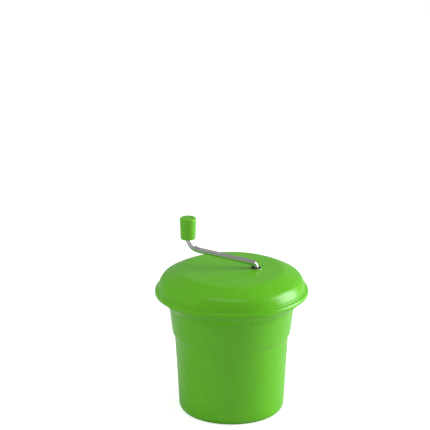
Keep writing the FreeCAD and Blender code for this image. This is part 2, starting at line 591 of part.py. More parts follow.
def toothed_face(teeth, play, growth=0.0):
    """A gear's outline as a face: a tooth points along +X, thinned by play or swollen by growth."""
    module, pressure = mm.gear_module.number, math.radians(mm.pressure_angle.number)
    pitch = module * teeth / 2
    base = pitch * math.cos(pressure)
    tip = pitch + mm.addendum.number * module + growth
    root = pitch - mm.dedendum.number * module + growth

    def involute(angle):
        return math.tan(angle) - angle

    def half_angle(radius):
        rolled = involute(math.acos(min(1.0, base / radius)))
        thickness = math.pi / (2 * teeth) + involute(pressure) - rolled
        return thickness + (growth - play / 2) / radius

    def point(radius, angle):
        return FreeCAD.Vector(radius * math.cos(angle), radius * math.sin(angle), 0)

    def flank(centre, side):
        start = max(base, root)
        radii = [start + (tip - start) * step / FLANK_STEPS for step in range(FLANK_STEPS + 1)]
        curve = Part.BSplineCurve()
        curve.interpolate([point(radius, centre + side * half_angle(radius)) for radius in radii])
        edges = [curve.toShape()]
        if root < base:
            foot = point(root, centre + side * half_angle(start))
            edges.append(Part.LineSegment(foot, point(start, centre + side * half_angle(start))).toShape())
        return edges

    edges = []
    spacing = 2 * math.pi / teeth
    foot_angle = half_angle(max(base, root))
    for tooth in range(teeth):
        centre = tooth * spacing
        edges += flank(centre, -1) + flank(centre, 1)
        top = half_angle(tip)
        land = (centre - top, centre, centre + top)
        edges.append(Part.Arc(*[point(tip, angle) for angle in land]).toShape())
        gap = (centre + foot_angle, centre + spacing / 2, centre + spacing - foot_angle)
        edges.append(Part.Arc(*[point(root, angle) for angle in gap]).toShape())
    return Part.Face(Part.Wire(Part.__sortEdges__(edges)))


def rod(radius, foot, head):
    return Part.makeCylinder(radius.number, (head - foot).number, FreeCAD.Vector(0, 0, foot.number))


def lifted(face, foot, head):
    solid = face.extrude(FreeCAD.Vector(0, 0, (head - foot).number))
    return solid.translated(FreeCAD.Vector(0, 0, foot.number))


def drive_gear():
    teeth = int(mm.gear_teeth.number)
    disc = lifted(toothed_face(teeth, mm.backlash.number), mm.gear_foot, mm.gear_top)
    rim = mm.gear_module * mm.gear_teeth / 2 - mm.gear_module * mm.dedendum - mm.gear_rim
    mid = (mm.gear_foot + mm.gear_top) / 2
    low_side = (mm.gear_foot - mm.overcut, mid - mm.gear_web)
    high_side = (mid + mm.gear_web, mm.gear_top + mm.overcut)
    for foot, head in (low_side, high_side):
        disc = disc.cut(rod(rim, foot, head).cut(rod(mm.gear_hub, foot, head)))
    hub = rod(mm.gear_hub, mm.gear_hub_foot, mm.gear_hub_top)
    gear = disc.fuse(hub).removeSplitter()
    bore_foot, bore_head = mm.gear_hub_foot - mm.overcut, mm.gear_hub_top + mm.overcut
    gear = gear.cut(rod(mm.crank_radius + mm.press_gap, bore_foot, bore_head))
    gear = gear.cut(cross_pin_rod(mm.gear_pin + mm.press_gap, mm.gear_hub))
    set_piece("drive_gear", gear, mm.gear_axis, mm.lid_seat_z)


def cross_pin_rod(radius, half_length):
    start = FreeCAD.Vector(0, -half_length.number, mm.gear_pin_z.number)
    return Part.makeCylinder(radius.number, 2 * half_length.number, start, FreeCAD.Vector(0, 1, 0))


def pinion_shape(growth=0.0):
    """The pinion's outline, turned so that a space faces the drive gear."""
    teeth = int(mm.pinion_teeth.number)
    face = toothed_face(teeth, mm.backlash.number, growth)
    face.rotate(FreeCAD.Vector(), FreeCAD.Vector(0, 0, 1), FULL_TURN / teeth / 2)
    return face


def pinion_shaft():
    shaft = lifted(pinion_shape(), mm.pinion_foot, mm.pinion_top)
    journal = rod(mm.journal_radius, mm.pinion_top, mm.journal_top)
    groove = rod(mm.journal_radius + mm.overcut, mm.clip_foot, mm.clip_top)
    groove = groove.cut(rod(mm.clip_groove, mm.clip_foot, mm.clip_top))
    lead = mm.pinion_lead
    wide = mm.gear_module * mm.pinion_teeth / 2 + mm.gear_module * mm.addendum
    tip = FreeCAD.Vector(0, 0, mm.pinion_foot.number)
    cone = Part.makeCone((wide - lead).number, wide.number, lead.number, tip)
    blank = cone.fuse(rod(wide, mm.pinion_foot + lead, mm.pinion_top))
    set_piece("pinion_shaft", shaft.common(blank).fuse(journal).cut(groove), z=mm.lid_seat_z)


def drive_socket():
    plug = rod(mm.socket_radius, mm.socket_foot, mm.column_top)
    fluted = pinion_shape(mm.socket_play.number)
    bore = lifted(fluted, mm.socket_foot - mm.overcut, mm.column_top + mm.overcut)
    set_piece("drive_socket", plug.cut(bore))


def pinion_keepers():
    bore = mm.journal_radius + mm.running_gap
    sleeve("pinion_washer", bore, mm.pinion_washer, mm.pinion_washer_foot, mm.clip_foot, z=mm.lid_seat_z)
    body = new_body("pinion_circlip", z=mm.lid_seat_z)
    rods(body, mm.clip_radius, mm.clip_foot, mm.clip_top)
    over = mm.clip_top + mm.overcut
    rods(body, mm.clip_groove + mm.press_gap, mm.clip_foot - mm.overcut, over, cut=True)
    sketch = new_sketch(body, "XY_Plane", over)
    gap, reach = mm.clip_groove / 2, mm.clip_radius + mm.overcut
    outline(sketch, [(-gap, ZERO), (gap, ZERO), (gap, reach), (-gap, reach)])
    pocket(body, sketch, mm.clip_top - mm.clip_foot + mm.overcut * 2)


# ---------------------------------------------------------------- crank and knob

def crank_arm():
    """A bent rod: up through the lid, along to the knob's side and up again as the knob's axle."""
    body = new_body("crank_arm", x=mm.gear_axis, z=mm.lid_seat_z)
    low, high = mm.bend_low.number, mm.bend_high.number
    reach, low_z, high_z = mm.crank_reach.number, mm.bend_low_z.number, mm.bend_high_z.number
    low_centre = FreeCAD.Vector(-low, low_z, 0)
    high_centre = FreeCAD.Vector(high - reach, high_z, 0)
    span = high_centre - low_centre
    straight = math.sqrt(span.Length ** 2 - (low + high) ** 2)
    heading = math.atan2(span.y, span.x) + math.atan2(low + high, straight)
    left = FreeCAD.Vector(-math.sin(heading), math.cos(heading), 0)
    up = FreeCAD.Vector(0, 0, 1)
    spine = new_sketch(body, "XZ_Plane")
    spine.addGeometry([
        Part.LineSegment(FreeCAD.Vector(0, mm.crank_foot.number, 0), FreeCAD.Vector(0, low_z, 0)),
        Part.ArcOfCircle(Part.Circle(low_centre, up, low), 0, heading - math.pi / 2),
        Part.LineSegment(low_centre - left * low, high_centre + left * high),
        Part.ArcOfCircle(Part.Circle(high_centre, up, high), math.pi, heading + math.pi / 2),
        Part.LineSegment(FreeCAD.Vector(-reach, high_z, 0), FreeCAD.Vector(-reach, mm.crank_top.number, 0)),
    ])
    for one, one_end, other, other_end in ((0, 2, 1, 1), (1, 2, 2, 1), (2, 2, 3, 2), (3, 1, 4, 1)):
        spine.addConstraint(Sketcher.Constraint("Tangent", one, one_end, other, other_end))
    spine.addConstraint(Sketcher.Constraint("PointOnObject", 0, 1, -2))
    spine.addConstraint(Sketcher.Constraint("Vertical", 0))
    spine.addConstraint(Sketcher.Constraint("Vertical", 4))
    for kind, line, end, size in (("DistanceY", 0, 1, mm.crank_foot), ("DistanceY", 0, 2, mm.bend_low_z),
                                  ("DistanceX", 4, 1, -mm.crank_reach), ("DistanceY", 4, 1, mm.bend_high_z),
                                  ("DistanceY", 4, 2, mm.crank_top)):
        rule = spine.addConstraint(Sketcher.Constraint(kind, -1, 1, line, end, size.number))
        bind(spine, **{f"Constraints[{rule}]": size})
    for arc, size in ((1, mm.bend_low), (3, mm.bend_high)):
        rule = spine.addConstraint(Sketcher.Constraint("Radius", arc, size.number))
        bind(spine, **{f"Constraints[{rule}]": size})
    profile = new_sketch(body, "XY_Plane", mm.crank_foot)
    circle(profile, mm.crank_radius)
    doc.recompute()
    pipe = body.newObject("PartDesign::AdditivePipe", "Pipe")
    pipe.Profile = profile
    pipe.Spine = spine
    body.Tip = pipe
    hole = mm.end_screw_shank + mm.press_gap
    rods(body, hole, mm.crank_foot - mm.overcut, mm.crank_foot + mm.end_screw_depth, cut=True)
    knob_side = ring(ZERO, ZERO, ONE, x=-mm.crank_reach)
    rods(body, hole, mm.crank_top - mm.end_screw_depth, mm.crank_top + mm.overcut, knob_side, cut=True)
    sketch = new_sketch(body, "XZ_Plane", -mm.gear_hub)
    at = sketch.addGeometry(Part.Circle(FreeCAD.Vector(0, mm.gear_pin_z.number, 0), up, mm.gear_pin.number))
    sketch.addConstraint(Sketcher.Constraint("PointOnObject", at, 3, -2))
    for kind, size in (("Radius", mm.gear_pin + mm.press_gap), ("DistanceY", mm.gear_pin_z)):
        place = (at, size.number) if kind == "Radius" else (-1, 1, at, 3, size.number)
        rule = sketch.addConstraint(Sketcher.Constraint(kind, *place))
        bind(sketch, **{f"Constraints[{rule}]": size})
    pocket(body, sketch, mm.gear_hub * 2, along_normal=True)


def crank_fasteners():
    pin = cross_pin_rod(mm.gear_pin, mm.gear_pin_half)
    set_piece("gear_pin", pin, mm.gear_axis, mm.lid_seat_z)
    washer_bore = mm.end_screw_shank + mm.washer_play
    sleeve("gear_washer", washer_bore, mm.gear_washer, mm.gear_washer_foot, mm.crank_foot,
           mm.gear_axis, mm.lid_seat_z)
    screws("gear_screw", crank_place, mm.gear_washer_foot, mm.end_screw_length, mm.gear_screw_head,
           mm.gear_washer_foot - mm.gear_screw_foot, mm.end_screw_shank, mm.lid_seat_z)
    sleeve("crank_seal", mm.crank_radius + mm.press_gap, mm.seal_radius, mm.seal_foot, mm.seal_top,
           mm.gear_axis, mm.lid_seat_z)
    knob_axis = mm.gear_axis - mm.crank_reach
    sleeve("knob_collar", mm.crank_radius + mm.press_gap, mm.collar_radius, mm.collar_foot, mm.collar_top,
           knob_axis, mm.lid_seat_z)
    sleeve("knob_washer", washer_bore, mm.knob_washer, mm.crank_top, mm.knob_washer_top,
           knob_axis, mm.lid_seat_z)
    knob_place = ring(ZERO, ZERO, ONE, x=knob_axis)
    screws("knob_screw", knob_place, mm.knob_washer_top, mm.end_screw_length, mm.knob_screw_head,
           mm.knob_screw_top - mm.knob_washer_top, mm.end_screw_shank, mm.lid_seat_z, head_up=True)


def knob():
    axis = mm.gear_axis - mm.crank_reach
    body = new_body("knob", x=axis, z=mm.lid_seat_z)
    bore = mm.crank_radius + mm.knob_play
    wall = mm.knob_wall
    revolve(body, [
        (mm.knob_low - wall, mm.knob_foot), (mm.knob_low, mm.knob_foot), (mm.knob_high, mm.knob_shoulder_z),
        (mm.knob_flat, mm.knob_top), (mm.knob_recess, mm.knob_top), (mm.knob_recess, mm.knob_deck_z),
        (bore, mm.knob_deck_z), (bore, mm.knob_boss_foot), (mm.knob_boss, mm.knob_boss_foot),
        (mm.knob_boss, mm.knob_roof_z), (mm.knob_high - wall - mm.knob_taper, mm.knob_roof_z),
    ])
    sketch = new_sketch(body, "XZ_Plane")
    inner, outer, roof = mm.knob_boss - mm.ease, mm.knob_low - mm.knob_rib_sink, mm.knob_roof_z + mm.ease
    outline(sketch, [(inner, mm.knob_rib_foot), (outer, mm.knob_rib_foot), (outer, roof), (inner, roof)])
    repeat(body, pad(body, sketch, mm.knob_rib_thick, symmetric=True), mm.knob_rib_count)
    cap = new_body("knob_cap", x=axis, z=mm.lid_seat_z)
    rods(cap, mm.cap_radius, mm.cap_foot, mm.knob_top)


# ---------------------------------------------------------------- the whole spinner

def build():
    bucket()
    pivot_pin()
    pivot_bush()
    thrust_washer()
    basket()
    centre_column()
    drive_socket()
    screws("column_screws", column_ring, mm.hub_top + mm.flange_thick, mm.column_screw, head_up=True)
    lid_shell()
    gearbox_plate()
    gear_housing()
    housing_cover()
    lid_bushes()
    screws("plate_screws", plate_ring, mm.plate_foot, mm.long_screw, z=mm.lid_seat_z)
    screws("housing_screws", housing_ring, mm.housing_flange_foot, mm.short_screw, z=mm.lid_seat_z)
    screws("cover_screws", cover_ring, mm.cover_foot, mm.cover_screw, head_rise=mm.cover_head_rise,
           z=mm.lid_seat_z)
    drive_gear()
    pinion_shaft()
    pinion_keepers()
    crank_arm()
    crank_fasteners()
    knob()


def check_document():
    """Stops if any object failed, any piece is not valid, or any pocket took nothing away."""
    doc.recompute()
    for item in doc.Objects:
        if "Invalid" in item.State or "Error" in item.State:
            raise RuntimeError(f"{item.Name} ({item.Label}) failed: {item.State}")
        if item.TypeId != "PartDesign::Pocket":
            continue
        if item.Shape.Volume > item.BaseFeature.Shape.Volume - LEAST_CUT:
            raise RuntimeError(f"{item.Name} cuts nothing")
    for piece in pieces:
        if piece.Shape.isNull() or not piece.Shape.isValid() or not piece.Shape.Solids:
            raise RuntimeError(f"{piece.Label} has no valid shape")


def write_pieces():
    os.makedirs("parts", exist_ok=True)
    for piece in pieces:
        piece.Shape.exportStep(f"parts/{piece.Label}.step")
        box = piece.Shape.BoundBox
        print(f"{piece.Label:18} solids {len(piece.Shape.Solids)} volume {piece.Shape.Volume:11.1f} "
              f"x {box.XMin:8.2f} {box.XMax:8.2f} y {box.YMin:8.2f} {box.YMax:8.2f} "
              f"z {box.ZMin:8.2f} {box.ZMax:8.2f}")


build()
check_document()
write_pieces()
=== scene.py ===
"""A large hand-cranked salad spinner: green bucket and lid, milky slotted basket, steel crank.

Profiles are in millimetres, as (radius, height, rounding) corners; pieces of the lid are drawn from
the lid's rim plane, as they would be on a drawing of the lid alone.
"""

import json
import math

import bmesh
import bpy
from mathutils import Matrix, Vector

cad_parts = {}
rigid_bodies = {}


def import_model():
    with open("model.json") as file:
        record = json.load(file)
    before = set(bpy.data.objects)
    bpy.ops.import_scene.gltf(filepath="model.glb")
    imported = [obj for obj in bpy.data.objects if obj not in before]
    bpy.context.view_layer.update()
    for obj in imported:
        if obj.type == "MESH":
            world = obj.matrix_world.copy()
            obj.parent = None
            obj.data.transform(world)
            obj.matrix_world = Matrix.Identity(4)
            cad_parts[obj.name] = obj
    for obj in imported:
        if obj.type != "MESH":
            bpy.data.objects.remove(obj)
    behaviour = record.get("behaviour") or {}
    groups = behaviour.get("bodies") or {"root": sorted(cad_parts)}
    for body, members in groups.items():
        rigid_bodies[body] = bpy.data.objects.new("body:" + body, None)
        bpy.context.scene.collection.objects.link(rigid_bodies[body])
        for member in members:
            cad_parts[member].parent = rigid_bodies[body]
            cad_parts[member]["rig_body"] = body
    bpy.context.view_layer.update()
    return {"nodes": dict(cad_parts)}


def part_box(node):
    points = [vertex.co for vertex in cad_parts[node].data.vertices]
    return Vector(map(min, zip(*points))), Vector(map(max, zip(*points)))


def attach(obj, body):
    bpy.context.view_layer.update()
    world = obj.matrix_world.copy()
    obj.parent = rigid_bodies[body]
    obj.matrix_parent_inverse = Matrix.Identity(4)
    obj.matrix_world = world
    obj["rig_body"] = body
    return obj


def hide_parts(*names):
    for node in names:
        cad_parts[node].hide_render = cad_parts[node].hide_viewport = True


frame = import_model()

MM = 0.001
FULL_TURN = 2 * math.pi
TURN_STEPS = 192
PLATE_STEPS = 160
DRUM_STEPS = 128
TUBE_STEPS = 96
BORE_STEPS = 64
POST_STEPS = 40
ROUND_STEPS = 4
WELD = 0.001 * MM
SKIN_WELD = 0.01 * MM
SHARP_ANGLE = math.radians(38)

LID_RIBS_BELOW_RIM = 3
LID_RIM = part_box("lid_shell")[0].z / MM + LID_RIBS_BELOW_RIM
GEAR_AXIS = (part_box("drive_gear")[0].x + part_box("drive_gear")[1].x) / 2 / MM
KNOB_AXIS = (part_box("knob")[0].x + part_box("knob")[1].x) / 2 / MM
PLATE_AXIS = (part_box("gearbox_plate")[0].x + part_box("gearbox_plate")[1].x) / 2 / MM
ON_LID = (0, 0, LID_RIM)
ON_GEAR = (GEAR_AXIS, 0, LID_RIM)
ON_KNOB = (KNOB_AXIS, 0, LID_RIM)


# ---------------------------------------------------------------- materials

def linear(text):
    """A colour written as sRGB hex, in linear light."""
    channels = [int(text[at:at + 2], 16) / 255 for at in (1, 3, 5)]
    return [c / 12.92 if c <= 0.04045 else ((c + 0.055) / 1.055) ** 2.4 for c in channels] + [1.0]


def add(tree, kind, links=None, **settings):
    """Adds a node, sets its properties and its sockets, and links what is an output."""
    node = tree.nodes.new(kind)
    for name, value in settings.items():
        setattr(node, name, value)
    for socket, value in (links or {}).items():
        if isinstance(value, bpy.types.NodeSocket):
            tree.links.new(value, node.inputs[socket])
        else:
            node.inputs[socket].default_value = value
    return node


def new_material(name):
    material = bpy.data.materials.new(name)
    material.use_nodes = True
    tree = material.node_tree
    tree.nodes.clear()
    shader = add(tree, "ShaderNodeBsdfPrincipled")
    add(tree, "ShaderNodeOutputMaterial", {"Surface": shader.outputs["BSDF"]})
    place = add(tree, "ShaderNodeTexCoord").outputs["Object"]
    return material, tree, shader, place


def moulded(name, light, dark, roughness, grain_mm, grain_depth_mm, subsurface=0.0,
            radius_mm=(1, 1, 1), ior=1.49):
    """Injection-moulded plastic: an even colour with a faint cloudiness, and a fine mould grain
    that breaks up the gloss. The grain is drawn coarser than the real 0.2 mm so that it shows."""
    material, tree, shader, place = new_material(name)
    cloud = add(tree, "ShaderNodeTexNoise", {"Vector": place, "Scale": 1 / (60 * MM), "Detail": 3.0})
    tint = add(tree, "ShaderNodeMix", {"Factor": cloud.outputs["Fac"], 6: linear(dark),
                                       7: linear(light)}, data_type="RGBA")
    wear = add(tree, "ShaderNodeTexNoise", {"Vector": place, "Scale": 1 / (22 * MM), "Detail": 6.0,
                                            "Roughness": 0.65})
    gloss = add(tree, "ShaderNodeMapRange", {"Value": wear.outputs["Fac"],
                                             "From Min": 0.3, "From Max": 0.7,
                                             "To Min": roughness - 0.04, "To Max": roughness + 0.05})
    grain = add(tree, "ShaderNodeTexNoise", {"Vector": place, "Scale": 1 / (grain_mm * MM),
                                             "Detail": 2.0})
    bump = add(tree, "ShaderNodeBump", {"Height": grain.outputs["Fac"], "Strength": 0.35,
                                        "Distance": grain_depth_mm * MM})
    for socket, value in (("Base Color", tint.outputs[2]), ("Roughness", gloss.outputs["Result"]),
                          ("Normal", bump.outputs["Normal"])):
        tree.links.new(value, shader.inputs[socket])
    shader.inputs["IOR"].default_value = ior
    if subsurface:
        shader.inputs["Subsurface Weight"].default_value = subsurface
        shader.inputs["Subsurface Radius"].default_value = [r * MM for r in radius_mm]
        shader.inputs["Subsurface Scale"].default_value = 1.0
    return material


def steel(name, colour, roughness, line_mm, line_depth_mm, along):
    """Stainless steel: grey with a slight warmth, and fine lines left by drawing or turning."""
    material, tree, shader, place = new_material(name)
    stretch = add(tree, "ShaderNodeMapping", {"Vector": place, "Scale": along})
    lines = add(tree, "ShaderNodeTexNoise", {"Vector": stretch.outputs["Vector"],
                                             "Scale": 1 / (line_mm * MM), "Detail": 3.0})
    gloss = add(tree, "ShaderNodeMapRange", {"Value": lines.outputs["Fac"],
                                             "From Min": 0.3, "From Max": 0.7,
                                             "To Min": roughness - 0.05, "To Max": roughness + 0.07})
    bump = add(tree, "ShaderNodeBump", {"Height": lines.outputs["Fac"], "Strength": 0.3,
                                        "Distance": line_depth_mm * MM})
    shader.inputs["Base Color"].default_value = linear(colour)
    shader.inputs["Metallic"].default_value = 1.0
    tree.links.new(gloss.outputs["Result"], shader.inputs["Roughness"])
    tree.links.new(bump.outputs["Normal"], shader.inputs["Normal"])
    return material


def rubber(name):
    """Moulded nitrile rubber: near black, soft sheen, slightly dusty."""
    material, tree, shader, place = new_material(name)
    dust = add(tree, "ShaderNodeTexNoise", {"Vector": place, "Scale": 1 / (3 * MM), "Detail": 5.0})
    tint = add(tree, "ShaderNodeMix", {"Factor": dust.outputs["Fac"], 6: linear("#141414"),
                                       7: linear("#2A2A29")}, data_type="RGBA")
    tree.links.new(tint.outputs[2], shader.inputs["Base Color"])
    shader.inputs["Roughness"].default_value = 0.62
    return material


green_polypropylene = moulded("green_polypropylene", "#63BE06", "#5CB604", 0.28, 3.0, 0.03)
milky_polyethylene = moulded("milky_polyethylene", "#DFEDEE", "#D8E7E7", 0.36, 2.5, 0.03,
                             subsurface=0.9, radius_mm=(7.0, 8.0, 8.5), ior=1.51)
pale_nylon = moulded("pale_nylon", "#E2EBD6", "#D6E2C8", 0.4, 0.7, 0.04,
                     subsurface=0.2, radius_mm=(3, 4, 2))
pale_green_nylon = moulded("pale_green_nylon", "#C6DF99", "#BAD68B", 0.4, 0.7, 0.04,
                           subsurface=0.2, radius_mm=(3, 4, 2))
white_acetal = moulded("white_acetal", "#EEEEE6", "#E4E4DA", 0.28, 0.5, 0.02,
                       subsurface=0.15, radius_mm=(2, 2, 2))
polished_rod = steel("polished_rod", "#D4D4D2", 0.13, 0.5, 0.01, (1, 1, 0.04))
turned_steel = steel("turned_steel", "#C6C6C4", 0.24, 0.3, 0.01, (0.05, 0.05, 1))
black_rubber = rubber("black_rubber")


# ---------------------------------------------------------------- shaping

def rounded_wire(corners, closed, steps=ROUND_STEPS):
    """A wire in the XZ plane through (x, z, rounding) corners, each rounded by its own amount."""
    bm = bmesh.new()
    points = [bm.verts.new((x * MM, 0, z * MM)) for x, z, _ in corners]
    pairs = list(zip(points, points[1:]))
    if closed:
        pairs.append((points[-1], points[0]))
    for near, far in pairs:
        bm.edges.new((near, far))
    for point, (_, _, rounding) in zip(points, corners):
        if rounding:
            bmesh.ops.bevel(bm, geom=[point], offset=rounding * MM, offset_type="OFFSET", segments=steps,
                            profile=0.5, affect="VERTICES", material=-1)
    return bm


def walked(bm, start):
    """The points of an open wire in order, from the end nearest to start."""
    ends = [v for v in bm.verts if len(v.link_edges) == 1]
    here = min(ends, key=lambda v: (v.co - Vector(start)).length)
    path, edge = [here.co.copy()], None
    while True:
        onward = [e for e in here.link_edges if e != edge]
        if not onward:
            return path
        edge = onward[0]
        here = edge.other_vert(here)
        path.append(here.co.copy())


def turn(bm, steps=TURN_STEPS, angle=FULL_TURN):
    """Spins a wire about the Z axis into a closed skin with its faces outwards."""
    whole = abs(angle - FULL_TURN) < 1e-6
    bmesh.ops.spin(bm, geom=bm.verts[:] + bm.edges[:], cent=(0, 0, 0), axis=(0, 0, 1), angle=angle,
                   steps=steps, use_merge=whole)
    bmesh.ops.remove_doubles(bm, verts=bm.verts, dist=WELD)
    bmesh.ops.recalc_face_normals(bm, faces=bm.faces)


def turned(corners, at=(0, 0, 0), steps=TURN_STEPS):
    """A turned or moulded round part: the outline's corners spun about an upright axis."""
    on_axis = abs(corners[0][0]) < 1e-9 and abs(corners[-1][0]) < 1e-9
    bm = rounded_wire(corners, closed=not on_axis)
    turn(bm, steps)
    bmesh.ops.translate(bm, vec=Vector(at) * MM, verts=bm.verts)
    return bm


def block(low, high, rounding=0.0):
    """A block between two corners, in millimetres, with its edges rounded."""
    bm = bmesh.new()
    size = Vector(high) - Vector(low)
    middle = (Vector(high) + Vector(low)) / 2
    place = Matrix.Translation(middle * MM)
    bmesh.ops.create_cube(bm, size=MM, matrix=place @ Matrix.Diagonal((*size, 1)))
    if rounding:
        bmesh.ops.bevel(bm, geom=bm.edges[:], offset=rounding * MM, offset_type="OFFSET", segments=2,
                        profile=0.5, affect="EDGES", material=-1)
    return bm


def merged(*parts):
    """Several shapes as one."""
    whole = bmesh.new()
    for part in parts:
        shape = bpy.data.meshes.new("part")
        part.to_mesh(shape)
        part.free()
        whole.from_mesh(shape)
        bpy.data.meshes.remove(shape)
    return whole


def spread(bm, count, centre=(0, 0), start=0.0, sweep=360.0):
    """Repeats a shape round a centre: over a whole turn, or from a start angle over part of one."""
    axis = Vector((centre[0] * MM, centre[1] * MM, 0))
    gap = sweep / count if sweep == 360.0 else sweep / (count - 1)
    copies = []
    for at in range(count):
        copy = bm.copy()
        bmesh.ops.rotate(copy, cent=axis, matrix=Matrix.Rotation(math.radians(start + at * gap), 3, "Z"),
                         verts=copy.verts)
        copies.append(copy)
    bm.free()
    return merged(*copies)


def as_object(bm, name):
    shape = bpy.data.meshes.new(name)
    bm.to_mesh(shape)
    bm.free()
    thing = bpy.data.objects.new(name, shape)
    bpy.context.scene.collection.objects.link(thing)
    return thing


def cut_or_joined(bm, tool, operation="DIFFERENCE"):
    """The shape with the tool cut from it, or joined to it, as a clean new shape."""
    base, other = as_object(bm, "base"), as_object(tool, "tool")
    modifier = base.modifiers.new("boolean", "BOOLEAN")
    modifier.object = other
    modifier.operation = operation
    modifier.solver = "EXACT"
    result = bpy.data.meshes.new_from_object(base.evaluated_get(bpy.context.evaluated_depsgraph_get()))
    bpy.data.objects.remove(base)
    bpy.data.objects.remove(other)
    made = bmesh.new()
    made.from_mesh(result)
    bpy.data.meshes.remove(result)
    return made


def piece(bm, name, body, material, nodes=None, edge_mm=0.0, wall_mm=0.0):
    """Makes the finished piece: smooth faces, sharp corners, softened edges; it rides on its body."""
    for face in bm.faces:
        face.smooth = True
    for edge in bm.edges:
        edge.smooth = len(edge.link_faces) == 2 and edge.calc_face_angle(0.0) < SHARP_ANGLE
    thing = as_object(bm, name)
    thing.data.materials.append(material)
    if wall_mm:
        wall = thing.modifiers.new("wall", "SOLIDIFY")
        wall.thickness = wall_mm * MM
        wall.offset = -1
        wall.use_even_offset = True
    if edge_mm:
        soft = thing.modifiers.new("soft_edges", "BEVEL")
        soft.width = edge_mm * MM
        soft.segments = 2
        soft.limit_method = "ANGLE"
        soft.angle_limit = SHARP_ANGLE
        soft.use_clamp_overlap = True
        soft.harden_normals = False
    flat = thing.modifiers.new("even_shading", "WEIGHTED_NORMAL")
    flat.keep_sharp = True
    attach(thing, body)
    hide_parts(*(nodes or [name]))
    return thing


# ---------------------------------------------------------------- bucket

def make_bucket():
    """Thin moulded wall with a step two thirds of the way up, a ridge under the flare, a rolled rim."""
    shell = turned([
        (0, 12.5, 0), (6.5, 12.5, 1), (13, 2.8, 2), (95.7, 2.8, 1), (98.5, 0, 0.8), (106, 0, 1.6),
        (113, 7, 5), (122.4, 169, 3), (127.4, 177, 3), (134.2, 234, 0.5), (136.4, 235.5, 0.7),
        (136.4, 239, 1), (154, 256, 4), (155, 264.5, 1), (159.2, 264.5, 0.7), (159.2, 268, 1.6),
        (156, 268, 1.6), (152.5, 265.5, 1), (151.5, 262, 1.5), (150.2, 256, 3.5), (131.6, 238, 3.6),
        (131.6, 232, 2), (124.8, 177.5, 3), (119.8, 169.5, 3), (110.4, 8, 4), (106, 5.6, 2),
        (17, 5.6, 3), (10, 36, 1), (4.02, 36, 0.4), (4.02, 16, 0), (0, 16, 0),
    ])
    piece(shell, "bucket_shell", "bucket", green_polypropylene, ["bucket"])


# ---------------------------------------------------------------- basket

SLOT_SECTORS = 32
SLOT_HALF = 2.3
SECTOR_HALF = 10.0
SLOT_ARC = 8
BASKET_WALL = 2.4
BASKET_UNDERSIDE = [
    (12.1, 41.6, 0), (30.9, 41.6, 1.5), (39.5, 13, 3), (95, 13, 5), (104, 22, 5), (113.6, 150, 4),
    (118.6, 167, 4), (125.6, 232, 4), (135.2, 256, 1), (135.6, 258.6, 0.6), (139.8, 258.6, 0.6),
    (139.8, 250.5, 0),
]
WALL_SLOTS = [(26, 149), (170, 237)]
FLOOR_SLOT = (50, 90)
PAST_HUB = 45 * MM
SLOT_MARGIN = 5 * MM


def along_path(path):
    """The developed length of the path at each of its points."""
    lengths = [0.0]
    for near, far in zip(path, path[1:]):
        lengths.append(lengths[-1] + (far - near).length)
    return lengths


def length_at(path, lengths, wanted, coordinate, after=0.0):
    """The developed length where the path's coordinate first reaches a wanted value."""
    for at in range(1, len(path)):
        near, far = path[at - 1][coordinate], path[at][coordinate]
        if lengths[at] > after and near <= wanted <= far and far > near:
            return lengths[at - 1] + (lengths[at] - lengths[at - 1]) * (wanted - near) / (far - near)
    raise ValueError("the path never reaches that far")


def slotted_cell(bm, foot, head, low, high):
    """A flat cell from low to high, a sector wide, with a round-ended slot from foot to head."""
    def loop(points):
        made = [bm.verts.new((x, 0, z)) for x, z in points]
        return [bm.edges.new((made[at], made[(at + 1) % len(made)])) for at in range(len(made))]

    steps = [at / SLOT_ARC for at in range(SLOT_ARC + 1)]
    half, side = SLOT_HALF * MM, SECTOR_HALF * MM
    lower = [(-half * math.cos(math.pi * t), foot + half - half * math.sin(math.pi * t)) for t in steps]
    upper = [(half * math.cos(math.pi * t), head - half + half * math.sin(math.pi * t)) for t in steps]
    border = [(side * (2 * t - 1), low) for t in steps] + [(side * (1 - 2 * t), high) for t in steps]
    bridged = bmesh.ops.bridge_loops(bm, edges=loop(lower + upper) + loop(border))
    bmesh.ops.subdivide_edges(bm, edges=bridged["edges"], cuts=2, use_grid_fill=False)


def plain_cell(bm, low, high):
    """A flat cell without a slot, with the same columns as a slotted one."""
    size = Matrix.Diagonal((SECTOR_HALF * MM, (high - low) / 2, 1, 1))
    lie = Matrix.Translation((0, 0, (low + high) / 2)) @ Matrix.Rotation(math.pi / 2, 4, "X")
    bmesh.ops.create_grid(bm, x_segments=SLOT_ARC, y_segments=1, size=1, matrix=lie @ size)


def basket_sector(lengths, slots):
    """One sector of the basket's skin, flat: X is across the sector and Z is along the path."""
    bm = bmesh.new()
    here = 0.0
    for foot, head in slots:
        plain_cell(bm, here, foot - SLOT_MARGIN)
        slotted_cell(bm, foot, head, foot - SLOT_MARGIN, head + SLOT_MARGIN)
        here = head + SLOT_MARGIN
    plain_cell(bm, here, lengths[-1])
    bmesh.ops.remove_doubles(bm, verts=bm.verts, dist=SKIN_WELD)
    for length in lengths[1:-1]:
        bmesh.ops.bisect_plane(bm, geom=bm.verts[:] + bm.edges[:] + bm.faces[:], dist=SKIN_WELD,
                               plane_co=(0, 0, length), plane_no=(0, 0, 1))
    return bm


